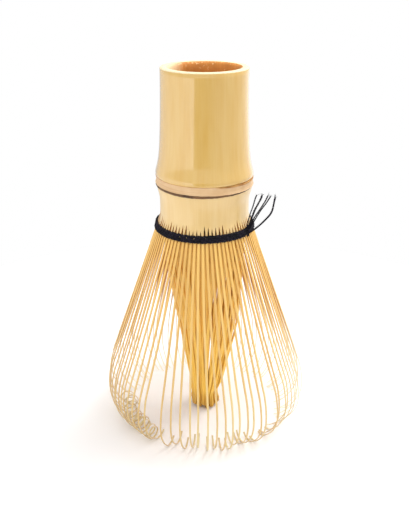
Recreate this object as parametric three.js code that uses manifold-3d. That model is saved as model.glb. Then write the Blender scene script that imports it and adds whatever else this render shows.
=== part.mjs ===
// Bamboo tea whisk (chasen), in millimetres, +Z up, standing on its tines with the handle upwards.
// The origin is on the axis at the level where the curled tines touch the table.
// The real whisk is one culm of bamboo, split and shaved at its lower end, and one black thread.
// Each region that the maker works is its own solid here: the handle, the node, its septum, the collar,
// the sixteen first splits with their outer and inner tines, and the rows, knot and free ends of the thread.
import * as THREE from "three";
import { mergeVertices } from "three/addons/utils/BufferGeometryUtils.js";
import Module from "manifold-3d";

const wasm = await Module();
wasm.setup();

// Driving dimensions.
const HEIGHT = 110; // table to the cut end of the handle
const GROOVE_Z = 79.9; // groove under the handle's flare
const SCAR_Z = 76.6; // sheath scar under the node's band
const ROOT_Z = 67.6; // where the splits end and the collar begins
const THREAD_Z = 64.1; // middle row of the thread
const HANDLE_R = 12.5; // at the cut end
const FLARE_R = 14.5; // widest ring of the node
const COLLAR_R = 13.3; // skin of the collar
const BORE_R = 9.9; // hollow of the handle
const COLLAR_BORE_R = 10.4; // hollow of the collar
const SPLITS = 16; // first splits of the culm
const TINES_PER_SPLIT = 5; // outer tines in each, and as many inner ones
const BELL_R = 31.2; // outside of the outer tines at their widest
const SPLAY = THREE.MathUtils.degToRad(17.5); // outer tines from the vertical
const KERF = 0.2; // the knife's gap between two splits
const THREAD_R = 0.38; // half the height of one twined row of thread
const TAIL_R = 0.22; // the single thread's radius

const ROUND_SEGMENTS = 40;
const SPLIT_ANGLE = (2 * Math.PI) / SPLITS;
const TINE_PITCH = SPLIT_ANGLE / TINES_PER_SPLIT;

// Materials.
const plain = (color, roughness) => new THREE.MeshStandardMaterial({ color, roughness, metalness: 0 });
const skin = plain(0xe3bd78, 0.35);
const flesh = plain(0xc98844, 0.8);
const outerBamboo = plain(0xe6c486, 0.5);
const innerBamboo = plain(0xd9a04a, 0.6);
const thread = plain(0x17151a, 0.9);

const whisk = new THREE.Group();
whisk.name = "tea_whisk";

function addMesh(name, geometry, material, parent = whisk) {
  const mesh = new THREE.Mesh(geometry, material);
  mesh.name = name;
  parent.add(mesh);
  return mesh;
}

// A ring turned about Z from its closed section of [radius, z] points, listed anticlockwise.
function turned(section) {
  const closed = [...section, section[0]].map(([r, z]) => new THREE.Vector2(r, z));
  return new THREE.LatheGeometry(closed, ROUND_SEGMENTS).rotateX(Math.PI / 2);
}

// Solids for joining.
function toSolid(geometry) {
  const bare = geometry.index ? geometry.toNonIndexed() : geometry.clone();
  bare.deleteAttribute("normal");
  bare.deleteAttribute("uv");
  const merged = mergeVertices(bare, 1e-4);
  return new wasm.Manifold(
    new wasm.Mesh({
      numProp: 3,
      vertProperties: merged.attributes.position.array,
      triVerts: new Uint32Array(merged.index.array),
    }),
  );
}

function toGeometry(solid) {
  const mesh = solid.getMesh();
  return new THREE.BufferGeometry()
    .setAttribute("position", new THREE.BufferAttribute(mesh.vertProperties, 3))
    .setIndex(new THREE.BufferAttribute(mesh.triVerts, 1));
}

function joined(geometries) {
  const [first, ...rest] = geometries.map(toSolid);
  return toGeometry(rest.reduce((sum, next) => sum.add(next), first));
}

// The culm: handle, node, septum and collar.
function handleTube() {
  const rimChamfer = 0.5;
  return turned([
    [BORE_R, GROOVE_Z],
    [FLARE_R - 0.1, GROOVE_Z],
    [FLARE_R, GROOVE_Z + 0.7],
    [14.0, 83],
    [13.65, 86.5],
    [13.2, 92],
    [12.8, 100],
    [HANDLE_R, HEIGHT - rimChamfer],
    [HANDLE_R - rimChamfer, HEIGHT],
    [BORE_R + rimChamfer, HEIGHT],
    [BORE_R, HEIGHT - rimChamfer],
  ]);
}

function nodeRidge() {
  return turned([
    [BORE_R, SCAR_Z],
    [FLARE_R, SCAR_Z],
    [FLARE_R, SCAR_Z + 0.5],
    [FLARE_R - 0.2, SCAR_Z + 1.7],
    [FLARE_R - 0.1, GROOVE_Z],
    [BORE_R, GROOVE_Z],
  ]);
}

function septum() {
  const gap = 0.1;
  const thickness = 1.6;
  const plate = new THREE.CylinderGeometry(BORE_R - gap, BORE_R - gap, thickness, ROUND_SEGMENTS);
  return plate.rotateX(Math.PI / 2).translate(0, 0, SCAR_Z + 0.4 + thickness / 2);
}

function collar() {
  return turned([
    [COLLAR_BORE_R, ROOT_Z],
    [COLLAR_R, ROOT_Z],
    [COLLAR_R, 73.2],
    [13.55, 74.8],
    [14.1, SCAR_Z],
    [COLLAR_BORE_R, SCAR_Z],
  ]);
}

// The root of one split: a piece of the culm's wall from the radius inner to outer.
function splitRoot(inner, outer, depth) {
  const half = SPLIT_ANGLE / 2 - KERF / 2 / inner;
  const shape = new THREE.Shape();
  shape.absarc(0, 0, outer, -half, half, false);
  shape.absarc(0, 0, inner, half, -half, true);
  const block = new THREE.ExtrudeGeometry(shape, { depth, bevelEnabled: false, curveSegments: 2 });
  return block.translate(0, 0, ROOT_Z - depth);
}

// A tine is a slat that follows a line of [radius, z] points in the plane of angle 0 about Z.
// Its width and thickness go evenly from [root, tip].
function tine(line, width, thickness) {
  const last = line.length - 1;
  const slat = new THREE.BoxGeometry(1, 1, 1, 1, last, 1);
  const position = slat.attributes.position;
  for (let i = 0; i < position.count; i++) {
    const step = Math.round((0.5 - position.getY(i)) * last);
    const before = line[Math.max(step - 1, 0)];
    const after = line[Math.min(step + 1, last)];
    const along = after.clone().sub(before).normalize();
    const across = THREE.MathUtils.lerp(...width, step / last) * position.getX(i);
    const out = THREE.MathUtils.lerp(...thickness, step / last) * position.getZ(i);
    const point = line[step];
    position.setXYZ(i, point.x - along.y * out, across, point.y + along.x * out);
  }
  return slat;
}

// Outer tines: out under the thread, straight down the bell, then curled inwards in two arcs.
function outerTineLine() {
  const [threadR, gentleR, curlR] = [14.4, 28.9, 7.1];
  const halfThickness = 0.17;
  const widest = BELL_R - halfThickness;
  const curlZ = curlR + halfThickness; // height of the widest point, so that the curl just rests on the table
  const curlEnd = THREE.MathUtils.degToRad(120);
  const gentle = new THREE.EllipseCurve(widest - gentleR, curlZ, gentleR, gentleR, SPLAY, 0, true);
  const curl = new THREE.EllipseCurve(widest - curlR, curlZ, curlR, curlR, 0, -curlEnd, true);
  const root = new THREE.Vector2(12.85, ROOT_Z - 0.5);
  return [root, new THREE.Vector2(threadR, THREAD_Z), ...gentle.getPoints(2), ...curl.getPoints(4).slice(1)];
}

// Inner tines: down inside the collar's wall, then drawn together into the core.
function innerTineLine() {
  const points = [
    [11.2, ROOT_Z - 0.5],
    [10.9, 45],
    [8.3, 27],
    [4.75, 6],
    [5.1, 3.2],
    [4.75, 0.6],
  ];
  return points.map(([r, z]) => new THREE.Vector2(r, z));
}

function split(line, width, thickness, root) {
  const tines = Array.from({ length: TINES_PER_SPLIT }, (_, i) =>
    tine(line, width, thickness).rotateZ((i - (TINES_PER_SPLIT - 1) / 2) * TINE_PITCH),
  );
  return joined([root, ...tines]);
}

// Thread: three twined rows outside the tines, one pass behind them, a knot and five free ends.
function threadRow(radius, z) {
  return new THREE.TorusGeometry(radius, THREAD_R, 5, ROUND_SEGMENTS).translate(0, 0, z);
}

function threadEnd(points) {
  const section = new THREE.Shape().absarc(0, 0, TAIL_R, 0, 2 * Math.PI, false);
  const route = new THREE.CatmullRomCurve3(points.map((p) => new THREE.Vector3(...p)));
  return new THREE.ExtrudeGeometry(section, {
    extrudePath: route,
    steps: 10,
    curveSegments: 4,
    bevelEnabled: false,
  });
}

addMesh("handle_tube", handleTube(), skin);
addMesh("node_ridge", nodeRidge(), skin);
addMesh("septum", septum(), flesh);
addMesh("collar", collar(), skin);

const rootDepth = 1;
const outerSplit = split(outerTineLine(), [0.62, 0.45], [0.5, 0.32], splitRoot(12.35, COLLAR_R, rootDepth));
const innerSplit = split(innerTineLine(), [0.4, 0.26], [0.4, 0.26], splitRoot(COLLAR_BORE_R, 12.05, rootDepth));
for (let i = 0; i < SPLITS; i++) {
  const number = String(i + 1).padStart(2, "0");
  const turn = (i + 0.5) * SPLIT_ANGLE;
  addMesh(`outer_tines_${number}`, outerSplit, outerBamboo).rotation.z = turn;
  addMesh(`inner_tines_${number}`, innerSplit, innerBamboo).rotation.z = turn + TINE_PITCH / 2;
}

const rowPitch = 0.9;
addMesh("thread_row_upper", threadRow(14.8, THREAD_Z + rowPitch), thread);
addMesh("thread_row_middle", threadRow(15.2, THREAD_Z), thread);
addMesh("thread_row_lower", threadRow(15.5, THREAD_Z - rowPitch), thread);
addMesh("thread_inner_pass", threadRow(13.65, THREAD_Z), thread);

// The knot sits on the thread, to the right of the front, and the free ends rise from it.
const knot = new THREE.Group();
knot.rotation.z = THREE.MathUtils.degToRad(-31);
knot.position.z = THREAD_Z;
whisk.add(knot);
addMesh("thread_knot", new THREE.SphereGeometry(1, 10, 8).scale(0.75, 0.8, 1.1).translate(16.8, 0, 0), thread, knot);

// Each end's route from the knot: [outwards, sideways, upwards].
const ends = [
  [[16.0, -0.9, 1.1], [15.3, -1.1, 3.4], [16.4, -0.9, 7.8], [17.6, -0.5, 11.5]],
  [[16.5, -0.2, 1.3], [16.6, -0.1, 4.2], [17.0, 0.0, 6.8], [18.8, 0.1, 11.4]],
  [[16.9, 0.55, 1.15], [17.3, 0.7, 4.2], [18.9, 0.9, 7.9], [20.3, 1.1, 11.3]],
  [[17.4, -0.1, 1.0], [18.1, 0.0, 4.3], [19.6, 0.1, 8.2], [21.4, 0.3, 11.4]],
  [[17.75, 0.6, 0.35], [19.0, 0.7, 2.4], [20.5, 0.8, 4.7], [21.9, 0.9, 7.1], [22.5, 1.0, 11.2]],
];
ends.forEach((points, i) => addMesh(`thread_end_${i + 1}`, threadEnd(points), thread, knot));

export default whisk;
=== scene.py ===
"""A bamboo tea whisk, finished around its CAD frame.

The whisk stands on its tines with the open end of its handle upwards. Everything is in metres,
+Z up, with the origin on the axis at the level of the table. Azimuths count from the front (-Y)
towards the right (+X).
"""

import logging
import math
import random
from dataclasses import dataclass
from enum import Enum
from typing import Any, Callable, Iterable, Sequence, TypeVar

import bpy
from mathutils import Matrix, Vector, noise


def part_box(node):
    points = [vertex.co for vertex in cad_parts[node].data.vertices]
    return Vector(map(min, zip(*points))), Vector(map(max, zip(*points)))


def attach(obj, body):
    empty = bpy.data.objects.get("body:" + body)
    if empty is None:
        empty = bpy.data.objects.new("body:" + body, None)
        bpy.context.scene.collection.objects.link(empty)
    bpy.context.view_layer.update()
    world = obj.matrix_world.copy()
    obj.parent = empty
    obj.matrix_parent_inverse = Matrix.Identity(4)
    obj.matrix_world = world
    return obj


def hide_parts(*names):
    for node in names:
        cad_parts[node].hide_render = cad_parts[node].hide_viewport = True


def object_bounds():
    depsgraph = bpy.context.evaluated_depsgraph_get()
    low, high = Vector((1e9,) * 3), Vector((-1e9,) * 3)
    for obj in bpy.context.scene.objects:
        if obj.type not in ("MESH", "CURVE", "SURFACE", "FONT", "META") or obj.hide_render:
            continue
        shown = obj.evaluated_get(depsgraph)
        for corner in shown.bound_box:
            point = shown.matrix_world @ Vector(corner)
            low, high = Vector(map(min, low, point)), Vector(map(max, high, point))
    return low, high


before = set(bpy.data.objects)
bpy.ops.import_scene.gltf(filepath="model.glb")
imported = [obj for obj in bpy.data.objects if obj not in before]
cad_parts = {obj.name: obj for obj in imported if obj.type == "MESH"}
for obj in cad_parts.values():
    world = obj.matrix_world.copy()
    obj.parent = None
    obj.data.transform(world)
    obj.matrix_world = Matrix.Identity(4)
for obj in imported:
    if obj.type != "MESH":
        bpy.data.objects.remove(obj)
CAD_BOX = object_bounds()

MM = 0.001
TAU = 2 * math.pi
SPLITS = 16
TINES_PER_SPLIT = 5
TINES = SPLITS * TINES_PER_SPLIT
PITCH = TAU / TINES
# Edges that turn by more than this stay crisp.
TINE_EDGE = math.radians(34)
THREAD_EDGE = math.radians(80)
BODY = "root"

Colour = tuple[float, float, float]
Point = tuple[float, float]
Point3 = tuple[float, float, float]
# (radius, height, slot of the face that follows)
SectionPoint = tuple[float, float, int]
Number = TypeVar("Number", float, Vector)
log = logging.getLogger("whisk")


def direction(azimuth: float) -> Vector:
    """Outward direction at an azimuth.

    Args:
        azimuth: radians from the front towards the right.

    Returns:
        The unit vector in the plane of the table.
    """
    return Vector((math.sin(azimuth), -math.cos(azimuth), 0.0))


def sideways(azimuth: float) -> Vector:
    """Direction of growing azimuth at an azimuth.

    Args:
        azimuth: radians from the front towards the right.

    Returns:
        The unit vector along the circle.
    """
    return Vector((math.cos(azimuth), math.sin(azimuth), 0.0))


def smooth_step(low: float, high: float, value: float) -> float:
    """Eased share of the way from low to high.

    Args:
        low: where the result is 0.
        high: where the result is 1.
        value: the place to read.

    Returns:
        A number from 0 to 1.
    """
    share = min(max((value - low) / (high - low), 0.0), 1.0)
    return share * share * (3 - 2 * share)


def bell(centre: float, width: float, value: float) -> float:
    """A bump of height 1.

    Args:
        centre: where the bump is highest.
        width: how far from the centre it has dropped to about a third.
        value: the place to read.

    Returns:
        A number from 0 to 1.
    """
    return math.exp(-(((value - centre) / width) ** 2))


def signed_turn(azimuth: float) -> float:
    """The same azimuth between minus and plus half a turn."""
    return (azimuth + math.pi) % TAU - math.pi


def round_noise(azimuth: float, times: float, shift: float = 0.0) -> float:
    """Smooth noise round the circle.

    Args:
        azimuth: radians from the front.
        times: how fine the noise is, about twice its waves round the circle.
        shift: picks another noise.

    Returns:
        A number from about -1 to 1.
    """
    return noise.noise(direction(azimuth) * times + Vector((0, 0, shift)))


def glide(before: Number, start: Number, stop: Number, after: Number, share: float) -> Number:
    """Runs smoothly from start to stop, with the slope that their neighbours give.

    Args:
        before: what comes before start.
        start: the value at share 0.
        stop: the value at share 1.
        after: what comes after stop.
        share: how far along, from 0 to 1.

    Returns:
        The value there.
    """
    slope = stop - before
    bend = 2 * before - 5 * start + 4 * stop - after
    twist = 3 * start - before - 3 * stop + after
    return 0.5 * (2 * start + slope * share + bend * share**2 + twist * share**3)


def wander(seed: float, place: float) -> float:
    """Smooth noise on a line.

    Args:
        seed: picks the line.
        place: the position on it; the noise changes over about one unit.

    Returns:
        A number from about -1 to 1.
    """
    return noise.noise(Vector((place, 7.31 * seed, 0.0)))


@dataclass(frozen=True)
class Levels:
    """Heights and radii that several pieces share. The CAD frame fixes all but the last two."""

    rim: float
    groove: float
    scar: float
    root: float
    thread: float
    node_radius: float
    bore_radius: float
    handle_radius: float = 12.55 * MM
    collar_bore: float = 10.4 * MM

    @classmethod
    def from_frame(cls) -> "Levels":
        """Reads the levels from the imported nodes.

        Returns:
            The levels.
        """
        handle_low, handle_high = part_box("handle_tube")
        band_low, band_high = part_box("node_ridge")
        collar_low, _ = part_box("collar")
        _, septum_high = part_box("septum")
        row_low, row_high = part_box("thread_row_middle")
        return cls(
            rim=handle_high.z,
            groove=handle_low.z,
            scar=band_low.z,
            root=collar_low.z,
            thread=(row_low.z + row_high.z) / 2,
            node_radius=band_high.x,
            bore_radius=septum_high.x + 0.1 * MM,
        )


# --------------------------------------------------------------------------------------------------
# Node graphs
# --------------------------------------------------------------------------------------------------


class Graph:
    """Short ways to add and join the nodes of one node tree."""

    def __init__(self, tree: bpy.types.NodeTree) -> None:
        """Starts on a tree.

        Args:
            tree: the tree that the nodes go into.
        """
        self.tree = tree

    def add(self, kind: str, inputs: dict[Any, Any] | None = None, **settings: Any) -> bpy.types.Node:
        """Adds a node.

        Args:
            kind: Blender's name of the node type.
            inputs: what each input gets, by name or index: a value, or the socket to link from.
            settings: the node's own properties.

        Returns:
            The new node.
        """
        made = self.tree.nodes.new(kind)
        for key, value in settings.items():
            setattr(made, key, value)
        for key, value in (inputs or {}).items():
            if isinstance(value, bpy.types.NodeSocket):
                self.tree.links.new(value, made.inputs[key])
            else:
                made.inputs[key].default_value = value
        return made

    def math(self, operation: str, first: Any, second: Any = 0.0) -> bpy.types.NodeSocket:
        """Adds a Math node.

        Args:
            operation: Blender's name of the operation.
            first: value or socket.
            second: value or socket.

        Returns:
            The node's output.
        """
        return self.add("ShaderNodeMath", {0: first, 1: second}, operation=operation).outputs[0]

    def mix(self, share: Any, first: Any, second: Any, blend: str = "MIX") -> bpy.types.NodeSocket:
        """Mixes two colours.

        Args:
            share: how much of the second, as a value or socket.
            first: colour or socket.
            second: colour or socket.
            blend: Blender's name of the blend mode.

        Returns:
            The mixed colour.
        """
        made = self.add("ShaderNodeMix", {0: share}, data_type="RGBA", blend_type=blend)
        for index, value in ((6, first), (7, second)):
            if isinstance(value, bpy.types.NodeSocket):
                self.tree.links.new(value, made.inputs[index])
            else:
                made.inputs[index].default_value = (*value, 1.0)
        return made.outputs[2]

    def product(self, *factors: Any) -> bpy.types.NodeSocket:
        """Multiplies values or sockets with each other.

        Args:
            factors: the values or sockets.

        Returns:
            The product.
        """
        result = factors[0]
        for factor in factors[1:]:
            result = self.math("MULTIPLY", result, factor)
        return result

    def vector(self, operation: str, first: Any, second: Any = None) -> bpy.types.NodeSocket:
        """Adds a Vector Math node.

        Args:
            operation: Blender's name of the operation.
            first: vector or socket.
            second: vector or socket, or None where the operation has one vector only.

        Returns:
            The node's output: a number for a dot product, otherwise a vector.
        """
        inputs = {0: first} if second is None else {0: first, 1: second}
        made = self.add("ShaderNodeVectorMath", inputs, operation=operation)
        return made.outputs["Value" if operation == "DOT_PRODUCT" else "Vector"]

    def place(self) -> bpy.types.NodeSocket:
        """The place on the piece, in metres."""
        return self.add("ShaderNodeTexCoord").outputs["Object"]

    def group(self, tree: bpy.types.NodeTree, **inputs: float) -> bpy.types.bpy_prop_collection:
        """Adds a shader group.

        Args:
            tree: the group.
            inputs: values for its inputs, with _ for a space.

        Returns:
            The node's outputs.
        """
        named = {key.replace("_", " "): value for key, value in inputs.items()}
        return self.add("ShaderNodeGroup", named, node_tree=tree).outputs

    def attribute(self, name: str) -> bpy.types.NodeSocket:
        """Reads a number that the mesh carries under a name."""
        return self.add("ShaderNodeAttribute", attribute_name=name).outputs["Fac"]

    def span(
        self, value: Any, low: float, high: float, to_low: float = 0.0, to_high: float = 1.0
    ) -> bpy.types.NodeSocket:
        """Maps one range of numbers onto another, clamped.

        Args:
            value: the socket to read.
            low: its value that gives to_low.
            high: its value that gives to_high.
            to_low: the result at low.
            to_high: the result at high.

        Returns:
            The mapped number.
        """
        made = self.add("ShaderNodeMapRange", {0: value, 1: low, 2: high, 3: to_low, 4: to_high})
        return made.outputs[0]


def declare(tree: bpy.types.NodeTree, sockets: Iterable[tuple[str, str, str, Any]]) -> None:
    """Declares a group's sockets.

    Args:
        tree: the group.
        sockets: (name, "INPUT" or "OUTPUT", socket type, default or None) for each.
    """
    for name, side, kind, default in sockets:
        socket = tree.interface.new_socket(name=name, in_out=side, socket_type=kind)
        if default is not None:
            socket.default_value = default


# --------------------------------------------------------------------------------------------------
# Shader groups and finishes
# --------------------------------------------------------------------------------------------------


class GroupLibrary:
    """The shader groups that several finishes share, each built once."""

    def __init__(self) -> None:
        """Builds the groups."""
        self.grain = self._grain()
        self.cut_side = self._cut_side()
        self.blotches = self._blotches()

    @staticmethod
    def _grain() -> bpy.types.NodeTree:
        """Fibres that run along the culm: broad streaks, fine lines and a height for bump.

        Returns:
            The group.
        """
        tree = bpy.data.node_groups.new("bamboo_grain", "ShaderNodeTree")
        declare(
            tree,
            [
                ("Fibres Round", "INPUT", "NodeSocketFloat", 60.0),
                ("Fibre Length", "INPUT", "NodeSocketFloat", 0.03),
                ("Streaks", "OUTPUT", "NodeSocketFloat", None),
                ("Fibres", "OUTPUT", "NodeSocketFloat", None),
                ("Height", "OUTPUT", "NodeSocketFloat", None),
            ],
        )
        g = Graph(tree)
        given = g.add("NodeGroupInput")
        place = g.place()
        outward = g.vector("NORMALIZE", g.vector("MULTIPLY", place, (1.0, 1.0, 0.0)))
        x, y, _ = g.add("ShaderNodeSeparateXYZ", {0: outward}).outputs
        height = g.add("ShaderNodeSeparateXYZ", {0: place}).outputs["Z"]
        along = g.math("DIVIDE", height, given.outputs["Fibre Length"])

        def ring(density: float) -> bpy.types.NodeSocket:
            """Noise that is drawn out along Z, with density times the group's count of fibres.

            Args:
                density: share of the group's count of fibres.

            Returns:
                The noise, from 0 to 1.
            """
            count = g.product(given.outputs["Fibres Round"], density)
            around = g.add("ShaderNodeCombineXYZ", {0: g.product(x, count), 1: g.product(y, count), 2: along})
            made = g.add(
                "ShaderNodeTexNoise",
                {"Vector": around.outputs[0], "Scale": 1.0, "Detail": 2.0, "Roughness": 0.55},
            )
            return made.outputs["Fac"]

        streaks = g.span(ring(0.08), 0.32, 0.68)
        fibres = g.span(ring(1.0), 0.3, 0.7)
        relief = g.math("ADD", g.product(streaks, 0.4), g.product(fibres, 0.6))
        g.add("NodeGroupOutput", {"Streaks": streaks, "Fibres": fibres, "Height": relief})
        return tree

    @staticmethod
    def _cut_side() -> bpy.types.NodeTree:
        """Which faces of a slat look along the circle, and which look in at the axis.

        Returns:
            The group.
        """
        tree = bpy.data.node_groups.new("cut_side", "ShaderNodeTree")
        declare(tree, [(name, "OUTPUT", "NodeSocketFloat", None) for name in ("Side", "Inside")])
        g = Graph(tree)
        outward = g.vector("NORMALIZE", g.vector("MULTIPLY", g.place(), (1.0, 1.0, 0.0)))
        round_way = g.vector("CROSS_PRODUCT", outward, (0.0, 0.0, 1.0))
        normal = g.add("ShaderNodeNewGeometry").outputs["Normal"]
        facing_round = g.math("ABSOLUTE", g.vector("DOT_PRODUCT", round_way, normal))
        facing_out = g.vector("DOT_PRODUCT", outward, normal)
        g.add(
            "NodeGroupOutput",
            {"Side": g.span(facing_round, 0.55, 0.95), "Inside": g.span(facing_out, 0.0, -0.3)},
        )
        return tree

    @staticmethod
    def _blotches() -> bpy.types.NodeTree:
        """Soft blotches and small specks of a natural surface.

        Returns:
            The group.
        """
        tree = bpy.data.node_groups.new("blotches", "ShaderNodeTree")
        declare(
            tree,
            [
                ("Blotch Size", "INPUT", "NodeSocketFloat", 0.008),
                ("Speck Size", "INPUT", "NodeSocketFloat", 0.0008),
                ("Blotches", "OUTPUT", "NodeSocketFloat", None),
                ("Specks", "OUTPUT", "NodeSocketFloat", None),
            ],
        )
        g = Graph(tree)
        given = g.add("NodeGroupInput")
        place = g.place()

        def patches(size: str, detail: float) -> bpy.types.NodeSocket:
            """Noise of the size that an input gives.

            Args:
                size: name of the input that gives the size.
                detail: octaves of the noise.

            Returns:
                The noise, from 0 to 1.
            """
            scale = g.math("DIVIDE", 1.0, given.outputs[size])
            made = g.add("ShaderNodeTexNoise", {"Vector": place, "Scale": scale, "Detail": detail})
            return made.outputs["Fac"]

        broad, small = patches("Blotch Size", 3.0), patches("Speck Size", 1.0)
        g.add("NodeGroupOutput", {"Blotches": g.span(broad, 0.35, 0.65), "Specks": g.span(small, 0.62, 0.72)})
        return tree


class Finish:
    """A surface finish that can build its material."""

    name: str

    def build(self, groups: GroupLibrary) -> bpy.types.Material:
        """Makes the material.

        Args:
            groups: the shared shader groups.

        Returns:
            The material.
        """
        raise NotImplementedError

    def start(
        self, roughness: float, specular: float = 0.5
    ) -> tuple[bpy.types.Material, Graph, bpy.types.Node]:
        """Starts a node material.

        Args:
            roughness: the Principled shader's roughness where nothing drives it.
            specular: its specular level.

        Returns:
            The material, its graph and its Principled shader.
        """
        material = bpy.data.materials.new(self.name)
        material.use_nodes = True
        material.node_tree.nodes.clear()
        graph = Graph(material.node_tree)
        shader = graph.add(
            "ShaderNodeBsdfPrincipled", {"Roughness": roughness, "Specular IOR Level": specular}
        )
        graph.add("ShaderNodeOutputMaterial", {"Surface": shader.outputs[0]})
        return material, graph, shader

    @staticmethod
    def bump(
        g: Graph, shader: bpy.types.Node, height: bpy.types.NodeSocket, depth: float, strength: float
    ) -> None:
        """Adds relief to a shader.

        Args:
            g: the material's graph.
            shader: its Principled shader.
            height: the socket that gives the relief from 0 to 1.
            depth: the relief's depth in metres.
            strength: how strongly it shows.
        """
        made = g.add("ShaderNodeBump", {"Height": height, "Distance": depth, "Strength": strength})
        g.tree.links.new(made.outputs[0], shader.inputs["Normal"])


@dataclass(frozen=True)
class SkinFinish(Finish):
    """The culm's glossy natural skin."""

    name: str = "culm_skin"
    light: Colour = (0.755, 0.50, 0.155)
    dark: Colour = (0.71, 0.43, 0.10)
    fibre: Colour = (0.64, 0.37, 0.09)
    fibres_round: float = 70.0
    fibre_length: float = 20 * MM
    roughness: float = 0.16
    coat: float = 1.0
    coat_roughness: float = 0.03

    def build(self, groups: GroupLibrary) -> bpy.types.Material:
        """Makes the material: broad streaks, fine fibres, soft blotches and a thin gloss.

        Args:
            groups: the shared shader groups.

        Returns:
            The material.
        """
        material, g, shader = self.start(self.roughness)
        grain = g.group(groups.grain, Fibres_Round=self.fibres_round, Fibre_Length=self.fibre_length)
        marks = g.group(groups.blotches)
        streaked = g.mix(grain["Streaks"], self.light, self.dark)
        fibred = g.mix(g.product(grain["Fibres"], 0.22), streaked, self.fibre)
        base = g.mix(g.product(marks["Blotches"], 0.25), fibred, self.light)
        g.tree.links.new(base, shader.inputs["Base Color"])
        shader.inputs["Coat Weight"].default_value = self.coat
        shader.inputs["Coat Roughness"].default_value = self.coat_roughness
        rough = g.span(marks["Blotches"], 0.0, 1.0, self.roughness - 0.04, self.roughness + 0.06)
        g.tree.links.new(rough, shader.inputs["Roughness"])
        self.bump(g, shader, grain["Height"], 0.008 * MM, 0.3)
        return material


@dataclass(frozen=True)
class NodeFinish(Finish):
    """The matt, pinkish band of the node."""

    name: str = "node_band"
    light: Colour = (0.80, 0.55, 0.30)
    dark: Colour = (0.62, 0.36, 0.16)
    # Waves to the metre: few along the circle and many up the culm, which makes rings.
    rings: Point3 = (60.0, 60.0, 2600.0)

    def build(self, groups: GroupLibrary) -> bpy.types.Material:
        """Makes the material: blotches with a few rings round the culm.

        Args:
            groups: the shared shader groups.

        Returns:
            The material.
        """
        material, g, shader = self.start(0.45)
        marks = g.group(groups.blotches, Blotch_Size=4 * MM)
        place = g.add("ShaderNodeMapping", {"Vector": g.place(), "Scale": self.rings}).outputs[0]
        made = g.add("ShaderNodeTexNoise", {"Vector": place, "Scale": 1.0, "Detail": 2.0})
        rings = made.outputs["Fac"]
        lines = g.span(rings, 0.52, 0.72, 0.0, 0.7)
        blotched = g.mix(g.product(marks["Blotches"], 0.5), self.light, self.dark)
        g.tree.links.new(g.mix(lines, blotched, self.dark), shader.inputs["Base Color"])
        self.bump(g, shader, rings, 0.05 * MM, 0.5)
        return material


@dataclass(frozen=True)
class ScarFinish(Finish):
    """The dark, dry line that the fallen sheath left."""

    name: str = "sheath_scar"
    dark: Colour = (0.055, 0.028, 0.012)
    light: Colour = (0.22, 0.11, 0.045)

    def build(self, groups: GroupLibrary) -> bpy.types.Material:
        """Makes the material: brown with darker blotches.

        Args:
            groups: the shared shader groups.

        Returns:
            The material.
        """
        material, g, shader = self.start(0.75)
        marks = g.group(groups.blotches, Blotch_Size=3 * MM)
        g.tree.links.new(g.mix(marks["Blotches"], self.dark, self.light), shader.inputs["Base Color"])
        self.bump(g, shader, marks["Specks"], 0.04 * MM, 0.5)
        return material


@dataclass(frozen=True)
class CutFinish(Finish):
    """Saw-cut end grain: cream with the dots of the fibre bundles."""

    name: str = "saw_cut"
    flesh: Colour = (0.90, 0.77, 0.50)
    bundle: Colour = (0.62, 0.40, 0.17)
    bundle_size: float = 0.45 * MM

    def build(self, groups: GroupLibrary) -> bpy.types.Material:
        """Makes the material: round dots on a pale ground.

        Args:
            groups: the shared shader groups.

        Returns:
            The material.
        """
        material, g, shader = self.start(0.6)
        # The pattern is drawn out along Z, so a dot goes on as a fibre over the chamfer.
        flat = g.vector("MULTIPLY", g.place(), (1.0, 1.0, 0.05))
        cells = g.add("ShaderNodeTexVoronoi", {"Vector": flat, "Scale": 1 / self.bundle_size})
        from_centre = cells.outputs["Distance"]
        dots = g.span(from_centre, 0.18, 0.34, 0.55, 0.0)
        g.tree.links.new(g.mix(dots, self.flesh, self.bundle), shader.inputs["Base Color"])
        self.bump(g, shader, from_centre, 0.03 * MM, 0.4)
        return material


@dataclass(frozen=True)
class FleshFinish(Finish):
    """The inner wall of the culm, orange brown and fibrous."""

    name: str = "culm_wall"
    light: Colour = (0.76, 0.31, 0.055)
    dark: Colour = (0.46, 0.155, 0.02)
    chip: Colour = (0.95, 0.66, 0.32)
    painted_light: Colour = (0.88, 0.68, 0.40)
    rim: float = CAD_BOX[1][2]
    chip_depth: float = 4 * MM
    # The patch of painted light on the left, where the light from the right falls inside the bore:
    # its height, from full strength to its end, and its edge on the left, from -X.
    painted_light_depth: Point = (4 * MM, 12 * MM)
    painted_light_left: Point = (6 * MM, 9.5 * MM)

    def build(self, groups: GroupLibrary) -> bpy.types.Material:
        """Makes the material: fibres and blotches, with pale chips and a patch of painted light on the left
        near the saw cut.

        Args:
            groups: the shared shader groups.

        Returns:
            The material.
        """
        material, g, shader = self.start(0.7)
        grain = g.group(groups.grain, Fibres_Round=45.0, Fibre_Length=6 * MM)
        marks = g.group(groups.blotches, Blotch_Size=3.5 * MM, Speck_Size=0.7 * MM)
        fibred = g.mix(g.product(grain["Fibres"], 0.45), self.light, self.dark)
        blotched = g.mix(g.product(marks["Blotches"], 0.5), fibred, self.dark)
        aside, _, height = g.add("ShaderNodeSeparateXYZ", {0: g.place()}).outputs
        near_cut = g.span(height, self.rim - self.chip_depth, self.rim)
        chipped = g.mix(g.product(near_cut, marks["Specks"]), blotched, self.chip)
        # Painted light: the left inside of the bore, which faces the light from the right, is made paler.
        full, end = self.painted_light_depth
        high = g.span(height, self.rim - end, self.rim - full)
        start, whole = self.painted_light_left
        painted_light = g.product(g.span(aside, -start, -whole), high)
        g.tree.links.new(g.mix(painted_light, chipped, self.painted_light), shader.inputs["Base Color"])
        self.bump(g, shader, grain["Height"], 0.12 * MM, 0.6)
        return material


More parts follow.
